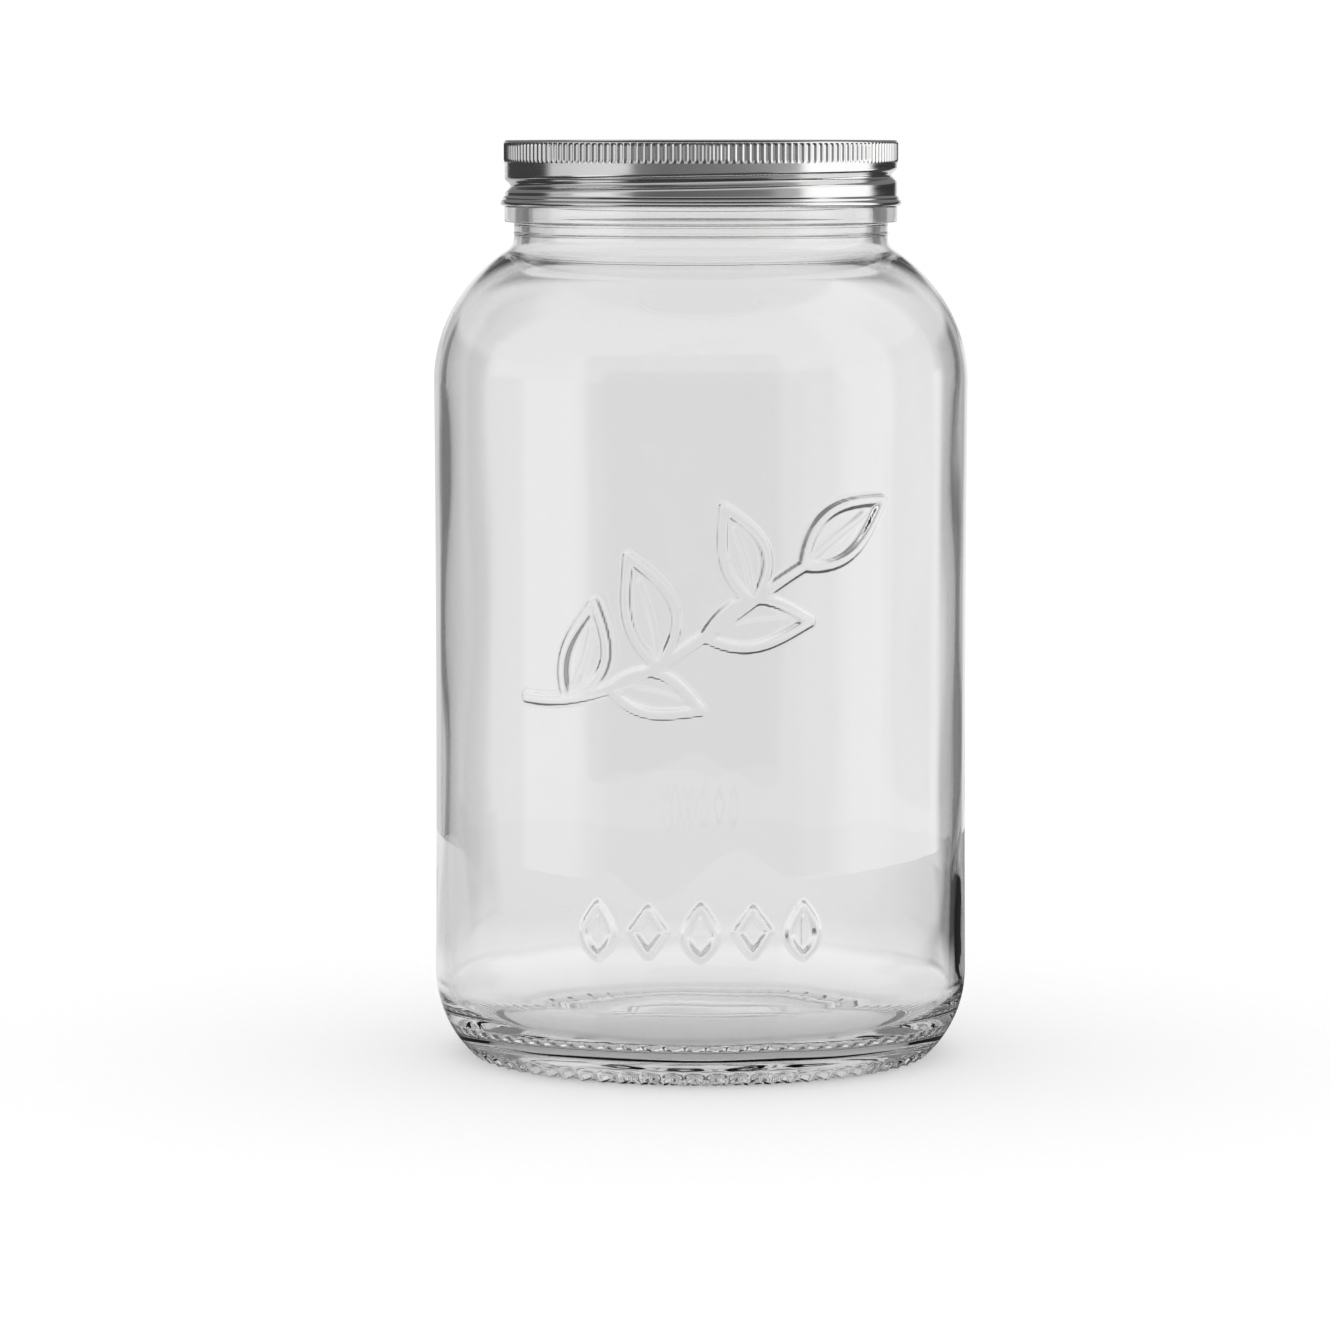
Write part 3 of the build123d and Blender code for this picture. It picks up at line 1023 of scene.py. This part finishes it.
def floor_material():
    """White with a little glow, but far off through glass and all over in mirrors it only glows in set
    tones: painted light and shade.
    """
    material, tree, shader = new_material("white_floor")
    shader.inputs["Base Color"].default_value = grey(FLOOR_WHITE)
    shader.inputs["Roughness"].default_value = 1.0
    shader.inputs["Specular IOR Level"].default_value = 0.0
    path = node(tree, "ShaderNodeLightPath", -900, -200)
    through = path.outputs["Is Transmission Ray"]
    glow = mix_colors(tree, through, grey(FLOOR_GLOW), grey(FLOOR_GLOW_THROUGH))
    glow = mix_colors(tree, path.outputs["Is Camera Ray"], glow, grey(FLOOR_GLOW_SEEN))
    tree.links.new(glow, shader.inputs["Emission Color"])
    shader.inputs["Emission Strength"].default_value = 1.0
    point, _, share = bearing(tree)
    reach = node(tree, "ShaderNodeVectorMath", -900, -600)
    reach.operation = "LENGTH"
    tree.links.new(point, reach.inputs[0])
    far = height_step(tree, reach.outputs["Value"], FLOOR_FROM, FLOOR_TO)
    far = math_node(tree, "MULTIPLY", far, through)
    # Painted light and shade: far off, rays through glass see this glow in the cards' tones instead of the
    # white floor
    cards = tree.nodes.new("ShaderNodeEmission")
    tree.links.new(ramp_of(tree, share, FLOOR_THROUGH_GLOW_STOPS, -600, -600), cards.inputs["Color"])
    # Painted shade: mirrored rays see only this glow, dark save towards the back
    mirrored = tree.nodes.new("ShaderNodeEmission")
    tree.links.new(ramp_of(tree, share, FLOOR_MIRROR_SHADE_STOPS, -600, -800), mirrored.inputs["Color"])
    seen = mix_shaders(tree, far, shader.outputs["BSDF"], cards.outputs["Emission"])
    seen = mix_shaders(tree, mirror_ray(tree), seen, mirrored.outputs["Emission"])
    tree.links.new(seen, tree.nodes["Material Output"].inputs["Surface"])
    return material


def make_floor():
    """A wide white floor, on which the soft shadows fall."""
    mesh = bpy.data.meshes.new("floor")
    corners = [(-1, -1), (1, -1), (1, 1), (-1, 1)]
    mesh.from_pydata([(FLOOR_REACH * x, FLOOR_REACH * y, 0) for x, y in corners], [], [(0, 1, 2, 3)])
    floor = bpy.data.objects.new("floor", mesh)
    bpy.context.scene.collection.objects.link(floor)
    mesh.materials.append(floor_material())


def make_world():
    """White to every ray but mirrored ones, which see a dark ceiling."""
    world = bpy.data.worlds.new("studio")
    bpy.context.scene.world = world
    world.use_nodes = True
    tree = world.node_tree
    color = mix_colors(tree, mirror_ray(tree), grey(BACKDROP), grey(CEILING))
    tree.links.new(color, tree.nodes["Background"].inputs["Color"])


def make_camera():
    """The camera, which looks down a little on the jar and is turned a little left of it."""
    data = bpy.data.cameras.new("camera")
    data.lens = CAMERA_LENS
    data.sensor_width = CAMERA_SENSOR
    data.clip_end = CAMERA_CLIP_END
    camera = bpy.data.objects.new("camera", data)
    bpy.context.scene.collection.objects.link(camera)
    camera.location = (0, -CAMERA_DISTANCE, CAMERA_HEIGHT)
    camera.rotation_euler = (math.radians(90 - CAMERA_PITCH), 0, math.radians(CAMERA_YAW))
    bpy.context.scene.camera = camera


def place(piece, cad_node, body, slot):
    """The piece stands for a CAD node and moves with its body; its slot is not used."""
    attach(piece, body)
    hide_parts(cad_node)


def main():
    """Everything in the scene."""
    scene = bpy.context.scene
    scene.view_settings.view_transform = "Standard"
    scene.cycles.max_bounces = BOUNCES
    scene.cycles.transmission_bounces = BOUNCES
    scene.cycles.glossy_bounces = GLOSSY_BOUNCES
    scene.cycles.use_denoising = True
    make_camera()
    make_world()
    make_floor()
    make_card_ring()
    lid_tin = tin_material("lid_tinplate", tone=0.78, rough_low=0.16, rough_high=0.26, anisotropy=0.3)
    band_tin = tin_material("band_tinplate", tone=0.74, rough_low=0.09, rough_high=0.17, anisotropy=0.4)
    place(make_glass(glass_material()), "glass_jar", "jar", "glass")
    place(make_lid(lid_tin), "lid_disc", "lid", "lid_tinplate")
    place(make_seal(seal_material()), "sealing_ring", "lid", "plastisol")
    place(make_band(band_tin), "screw_band", "band", "band_tinplate")


main()
